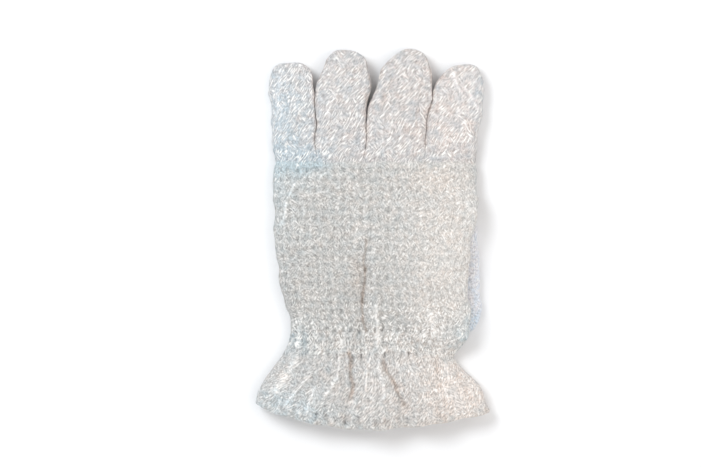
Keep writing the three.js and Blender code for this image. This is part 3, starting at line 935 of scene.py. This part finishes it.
class Wire:
    """A socket of a material's nodes, on which sums, products and powers are written as in Python."""

    def __init__(self, nodes, socket):
        self.nodes = nodes
        self.socket = socket

    def math(self, operation, *values):
        inputs = dict(enumerate(values))
        return self.nodes.add("ShaderNodeMath", {"operation": operation}, inputs)

    def __add__(self, other):
        return self.math("ADD", self, other)

    def __radd__(self, other):
        return self.math("ADD", other, self)

    def __sub__(self, other):
        return self.math("SUBTRACT", self, other)

    def __rsub__(self, other):
        return self.math("SUBTRACT", other, self)

    def __mul__(self, other):
        return self.math("MULTIPLY", self, other)

    def __rmul__(self, other):
        return self.math("MULTIPLY", other, self)

    def __pow__(self, other):
        return self.math("POWER", self, other)

    def __abs__(self):
        return self.math("ABSOLUTE", self)

    def part(self):
        """What is left above the whole number."""
        return self.math("FRACT", self)

    def eased(self, start, end):
        """0 at start and 1 at end, with a smooth step between them."""
        settings = {"interpolation_type": "SMOOTHSTEP"}
        values = {"Value": self, "From Min": start, "From Max": end}
        return self.nodes.add("ShaderNodeMapRange", settings, values)


class Nodes:
    """The nodes of one new material."""

    def __init__(self, name):
        self.material = bpy.data.materials.new(name)
        self.material.use_nodes = True
        self.tree = self.material.node_tree
        self.tree.nodes.clear()

    def add(self, kind, settings=None, inputs=None, output=0):
        """A new node with its settings, then the values or links of its sockets."""
        node = self.tree.nodes.new(kind)
        for name, value in (settings or {}).items():
            setattr(node, name, value)
        for name, value in (inputs or {}).items():
            if isinstance(value, Wire):
                self.tree.links.new(value.socket, node.inputs[name])
            else:
                node.inputs[name].default_value = value
        return Wire(self, node.outputs[output]) if node.outputs else None

    def coordinates(self, vector):
        """The three coordinates of a vector."""
        return [self.add("ShaderNodeSeparateXYZ", None, {"Vector": vector}, axis) for axis in range(3)]

    def uv(self, name):
        """The two coordinates of a UV map."""
        return self.coordinates(self.add("ShaderNodeUVMap", {"uv_map": name}))[:2]

    def blend(self, start, end, share):
        """A colour a share of the way from one to another."""
        return self.add("ShaderNodeMix", {"data_type": "RGBA"}, {0: share, 6: start, 7: end}, 2)

    def tint(self, colour, by, share=1.0):
        """A colour multiplied by another, or by a share of it."""
        settings = {"data_type": "RGBA", "blend_type": "MULTIPLY"}
        return self.add("ShaderNodeMix", settings, {0: share, 6: colour, 7: by}, 2)

    def grey(self, value):
        """The colour whose three channels are the value."""
        return self.add("ShaderNodeCombineColor", None, {0: value, 1: value, 2: value})

    def noise(self, place, scale, detail=2.0, distortion=0.0):
        inputs = {"Vector": place, "Scale": scale, "Detail": detail, "Distortion": distortion}
        return self.add("ShaderNodeTexNoise", None, inputs)

    def finish(self, inputs):
        """Ends the material with one surface shader."""
        shader = self.add("ShaderNodeBsdfPrincipled", None, inputs)
        self.add("ShaderNodeOutputMaterial", None, {"Surface": shader})
        return self.material


# The two slants of the strokes of yarn, in radians, and their widths and shortness, in cells. A slant
# has its own layer of the noise, and so do the fine strokes and the bright ones.
SLANTS = (0.95, -0.8)
SLANT_LAYERS = 5
GRAIN = {"pitch": 0.1, "shortness": 0.26, "seed": 0.0}
GLINT_PITCH = 0.13
GLINT_SEED = 12.0

# How softly one slant gives way to the other and a bright stroke ends, as a share of the noise.
SOFT = 0.05

# The levels of noise between which the fine strokes come out, and those between which the bright ones
# do, and the distances from the middle of a cell between which the ribs' colour goes over to the cell's
# darker one, which is painted shade.
GRAIN_RAMP = (0.36, 0.64)
GLINT_RAMP = (0.2, 0.55)
CELL_COLOUR_RAMP = (0.78, 0.3)

# What the painted glints gain on lighter cloth, the roughness of the cloth, and how much less rough the
# bright strokes are.
GLINT_ON_LIGHT = 1.5
ROUGHNESS = 0.6
GLINT_POLISH = 0.25

# The height of the fine strokes, and those of the bright ones and of the fuzz as shares of it.
YARN_HEIGHT = 0.4 * MM
GLINT_RELIEF = 0.5
FUZZ_RELIEF = 0.3

# What the crumpled cloth near the elastic adds, from and to these places along the glove in metres:
# more painted glints, brighter ones, and darker cloth between them.
CRUMPLE_RAMP = (-0.030, -0.058)
CRUMPLE_STROKES = 0.05
CRUMPLE_BRIGHTNESS = 0.2
CRUMPLE_SHADE = 0.09

# Noises on the object's coordinates, in waves a metre.
BLOTCHES = 200.0
SPECKS = 1100.0
FUZZ = 1500.0

SPECK_CONTRAST = 0.7
WARMTH_SHARE = 0.375
COOL = (0.79, 0.935, 1.01, 1)
WARM = (1.09, 0.995, 0.93, 1)
PAINTED_GLINT_COLOUR = (1.0, 0.985, 0.95, 1)
FOLD_PAINTED_SHADE = (0.82, 0.74, 0.69, 1)


def strokes(nodes, yarn, leaning, pitch, shortness, seed):
    """Noise drawn out into short slanting strokes that lean one way or the other by `leaning`."""
    u, v = yarn
    directions = []
    for number, slope in enumerate(SLANTS):
        along = (u * np.cos(slope) + v * np.sin(slope)) * (shortness / pitch)
        aside = (v * np.cos(slope) - u * np.sin(slope)) * (1 / pitch)
        layer = seed + SLANT_LAYERS * number
        place = nodes.add("ShaderNodeCombineXYZ", None, {"X": aside, "Y": along, "Z": layer})
        directions.append(nodes.noise(place, scale=1.0, detail=1.0, distortion=0.2))
    return directions[0] * leaning + directions[1] * (1 - leaning)


def mesh_cloth(name, rib, cell, patch=230.0, turning=0.5, contrast=0.5, satin=0.6, sparse=0.61,
               shortness=0.25, mottle=1.2, crumpled=0.0):
    """Padded mesh: pale ribs round cells darkened with painted shade, fine slanting strokes of yarn over both
    that turn from patch to patch, sparse bright strokes that are painted glints, faint cool and warm
    blotches, and folds darkened browner with painted shade. Its lightness, its warmth and how open its
    cells look come from the piece, which paints light and shade into them."""
    nodes = Nodes(name)
    place = nodes.add("ShaderNodeTexCoord", output=3)
    u, v = nodes.uv("cells")
    yarn = nodes.uv("yarn")
    fold = nodes.add("ShaderNodeAttribute", {"attribute_name": "fold"}, None, 2)
    tone = nodes.add("ShaderNodeAttribute", {"attribute_name": "tone"}, None, 1)
    light, warmth, openness = nodes.coordinates(tone)

    # Painted shade in the cells: the cell's colour is darker than the ribs', by how open the piece's cells
    # look.
    across = abs(u.part() * 2 - 1)
    down = abs(v.part() * 2 - 1)
    painted_cell_shade = from_cell_middle(across, down).eased(*CELL_COLOUR_RAMP) * openness

    _, north, _ = nodes.coordinates(place)
    near_elastic = north.eased(*CRUMPLE_RAMP) * crumpled
    leaning = nodes.noise(place, patch, 1.0).eased(turning - SOFT, turning + SOFT)
    grain = strokes(nodes, yarn, leaning, **GRAIN).eased(*GRAIN_RAMP)
    rare = sparse - near_elastic * CRUMPLE_STROKES
    glint = strokes(nodes, yarn, leaning, GLINT_PITCH, shortness, GLINT_SEED).eased(rare - SOFT, rare + SOFT)
    glint = glint * nodes.noise(place, BLOTCHES, 1.0).eased(*GLINT_RAMP)
    blotch = nodes.noise(place, BLOTCHES)
    speck = nodes.noise(place, SPECKS, 0.0)

    lightness = (grain - 0.5) * contrast + (speck - 0.5) * SPECK_CONTRAST + 1 + light
    warm_share = warmth * WARMTH_SHARE + (blotch - 0.5) * mottle + 0.5
    cloth = nodes.blend(rib, cell, painted_cell_shade)
    cloth = nodes.tint(cloth, nodes.grey(lightness - near_elastic * CRUMPLE_SHADE))
    cloth = nodes.tint(cloth, nodes.blend(COOL, WARM, warm_share))
    # Painted glints: the bright strokes blend the cloth's colour toward a near-white painted highlight, while
    # their lower roughness and relief are real.
    painted_glint_strength = light * GLINT_ON_LIGHT + near_elastic * CRUMPLE_BRIGHTNESS + satin
    cloth = nodes.blend(cloth, PAINTED_GLINT_COLOUR, glint * painted_glint_strength)
    # Painted shade in folds and between the fingers: the colour turns browner by the fold's depth.
    cloth = nodes.tint(cloth, FOLD_PAINTED_SHADE, fold)

    height = grain + glint * GLINT_RELIEF + nodes.noise(place, FUZZ, 1.0) * FUZZ_RELIEF
    bump = nodes.add("ShaderNodeBump", None, {"Strength": 0.5, "Distance": YARN_HEIGHT, "Height": height})
    return nodes.finish({
        "Base Color": cloth,
        "Roughness": ROUGHNESS - glint * GLINT_POLISH,
        "Normal": bump,
        "Sheen Weight": 0.1,
        "Sheen Roughness": 0.4,
    })


def floor_material():
    """A nearly white matt floor whose shade drifts a little."""
    nodes = Nodes("pale floor")
    place = nodes.add("ShaderNodeTexCoord", output=3)
    colour = nodes.blend((0.9, 0.9, 0.9, 1), (0.93, 0.93, 0.93, 1), nodes.noise(place, 3.0))
    return nodes.finish({"Base Color": colour, "Roughness": 0.7})


# The scene round the glove

# A pixel's size at the height of the glove's plane, the picture's width in pixels, the place under the
# middle of the picture, and the lens.
PIXEL = 0.64 * MM
IMAGE_WIDTH = 701
IMAGE_MIDDLE = Vector((-13.44, 3.36, 0)) * MM
GLOVE_PLANE = 8 * MM
LENS = 150
SENSOR = 36
FLOOR_REACH = 6.0


def make_camera():
    """Straight above, at the distance from which a pixel at the glove's plane has its size."""
    camera = bpy.data.cameras.new("camera")
    camera.lens = LENS
    camera.sensor_width = SENSOR
    distance = PIXEL * IMAGE_WIDTH * LENS / SENSOR
    holder = bpy.data.objects.new("camera", camera)
    holder.location = IMAGE_MIDDLE + Vector((0, 0, GLOVE_PLANE + distance))
    bpy.context.scene.collection.objects.link(holder)
    bpy.context.scene.camera = holder


def make_lamp(name, place, size, power, colour):
    """A round lamp that faces the glove."""
    lamp = bpy.data.lights.new(name, "AREA")
    lamp.shape = "DISK"
    lamp.size = size
    lamp.energy = power
    lamp.color = colour
    holder = bpy.data.objects.new(name, lamp)
    holder.location = place
    holder.rotation_euler = (-Vector(place)).to_track_quat("-Z", "Y").to_euler()
    bpy.context.scene.collection.objects.link(holder)


def make_room():
    """The floor, a cool window at the upper left, a warm lamp at the right, and a pale sky."""
    corners = [(x, y, 0) for x, y in np.array([(-1, -1), (1, -1), (1, 1), (-1, 1)]) * FLOOR_REACH]
    mesh = bpy.data.meshes.new("floor")
    mesh.from_pydata(corners, [], [(0, 1, 2, 3)])
    mesh.materials.append(floor_material())
    floor = bpy.data.objects.new("floor", mesh)
    bpy.context.scene.collection.objects.link(floor)
    make_lamp("window", place=(-0.55, 0.45, 1.1), size=0.6, power=8.5, colour=(0.92, 0.96, 1.0))
    make_lamp("warm side", place=(0.6, -0.1, 1.1), size=1.0, power=3.8, colour=(1.0, 0.92, 0.85))
    world = bpy.data.worlds.new("pale room")
    world.use_nodes = True
    sky = world.node_tree.nodes["Background"]
    sky.inputs["Color"].default_value = (0.97, 0.98, 1, 1)
    sky.inputs["Strength"].default_value = 0.68
    bpy.context.scene.world = world
    bpy.context.scene.view_settings.view_transform = "Standard"


def place_piece(piece, slot, *nodes):
    """Puts a piece on the glove's body in place of its nodes. The slot is not used."""
    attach(piece, "root")
    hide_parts(*nodes)


make_camera()
make_room()

# Each cloth: the colour of its ribs, and the darker colour of its cells, which is painted shade in them.
hand_cloth = mesh_cloth(
    "hand mesh", (0.58, 0.575, 0.56, 1), (0.47, 0.465, 0.45, 1),
    contrast=0.45, satin=0.75, mottle=0.75, crumpled=1.0,
)
finger_cloth = mesh_cloth(
    "finger mesh", (0.535, 0.516, 0.513, 1), (0.445, 0.426, 0.423, 1),
    patch=110.0, turning=0.4, satin=0.8, sparse=0.57, shortness=0.14,
)
# The thumb's cloth is lighter and bluer than the rest: painted bluish light on the side of the thumb that
# shows beyond the palm's edge.
thumb_cloth = mesh_cloth("thumb mesh", (0.63, 0.64, 0.68, 1), (0.54, 0.55, 0.59, 1), patch=150.0)
gathered_cloth = mesh_cloth(
    "gathered mesh", (0.558, 0.546, 0.529, 1), (0.43, 0.42, 0.405, 1),
    patch=400.0, contrast=0.65, satin=0.75, sparse=0.57, shortness=0.16, crumpled=0.6,
)
cuff_cloth = mesh_cloth(
    "cuff mesh", (0.555, 0.54, 0.525, 1), (0.42, 0.408, 0.397, 1),
    patch=200.0, turning=0.45, contrast=0.6, satin=0.65, sparse=0.6, mottle=0.95,
)
hem_cloth = mesh_cloth("hem band", (0.555, 0.545, 0.53, 1), (0.46, 0.45, 0.44, 1), patch=200.0)

# Each grid's columns a cell, over and under the sleeve, and the steps of its rows outside and inside.
COARSE = {"over": 10, "under": 8, "outer": 0.62, "inner": 6}
hand = sleeve_piece("hand_cloth", CLEARANCE / 2, ELASTIC_TOP - CLEARANCE, WALL, COARSE, hand_cloth)
cut_thumb_hole(hand)
place_piece(hand, "mesh_hand", "hand_shell")

for finger in FINGERS:
    place_piece(finger_piece(finger, finger_cloth), "mesh_finger", finger["name"])

thumb = thumb_piece(thumb_cloth)
place_piece(thumb, "mesh_thumb", "thumb")

GATHERED = {"over": 12, "under": 10, "outer": 0.42, "inner": 3}
elastic = sleeve_piece("elastic_cloth", ELASTIC_TOP, ELASTIC_END - CLEARANCE, WALL, GATHERED, gathered_cloth)
place_piece(elastic, "gathered_mesh", "wrist_elastic")

cuff = sleeve_piece("cuff_cloth", ELASTIC_END, HEM_SEAM - CLEARANCE, WALL, COARSE, cuff_cloth)
place_piece(cuff, "mesh_cuff", "cuff")

STITCHED = {"over": 20, "under": 16, "outer": 0.3, "inner": 1}
hem = sleeve_piece("hem_cloth", HEM_SEAM, EDGE, HEM_WALL, STITCHED, hem_cloth)
place_piece(hem, "hem_band", "hem")
